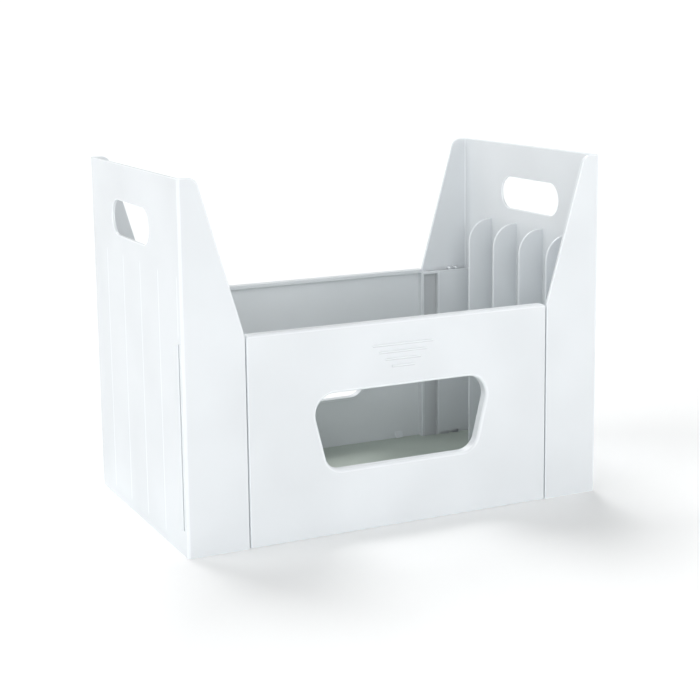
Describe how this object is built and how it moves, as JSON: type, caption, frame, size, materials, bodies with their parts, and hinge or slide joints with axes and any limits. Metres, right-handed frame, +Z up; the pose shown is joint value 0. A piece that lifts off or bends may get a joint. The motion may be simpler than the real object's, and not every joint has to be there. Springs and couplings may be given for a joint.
{
  "type": "magazine file holder",
  "caption": "Open-top desk box with tall sloped ends, hand holes, inner fins and low windowed panels, holding upright magazines and files.",
  "frame": {"origin": "centre of the box's footprint, on the surface it stands on", "axes": "+X along the box from the left end to the right end, -Y towards the front panel, +Z up"},
  "size_m": [0.383, 0.2296, 0.3],
  "materials": {
    "end_moulding": "satin moulded polystyrene, cool white",
    "panel_moulding": "satin moulded polystyrene, cool white",
    "base_moulding": "satin moulded polystyrene, slightly greyer white"
  },
  "bodies": {
    "tray": {"base_panel": "base_moulding", "front_panel": "panel_moulding", "rear_panel": "panel_moulding"},
    "left_wall": {"left_end": "end_moulding"},
    "right_wall": {"right_end": "end_moulding"}
  },
  "joints": [
    {"name": "left_end_slide", "type": "slide", "parent": "tray", "child": "left_wall", "axis": [-1, 0, 0], "range_m": [0, 0.06]},
    {"name": "right_end_slide", "type": "slide", "parent": "tray", "child": "right_wall", "axis": [1, 0, 0], "range_m": [0, 0.06]}
  ]
}
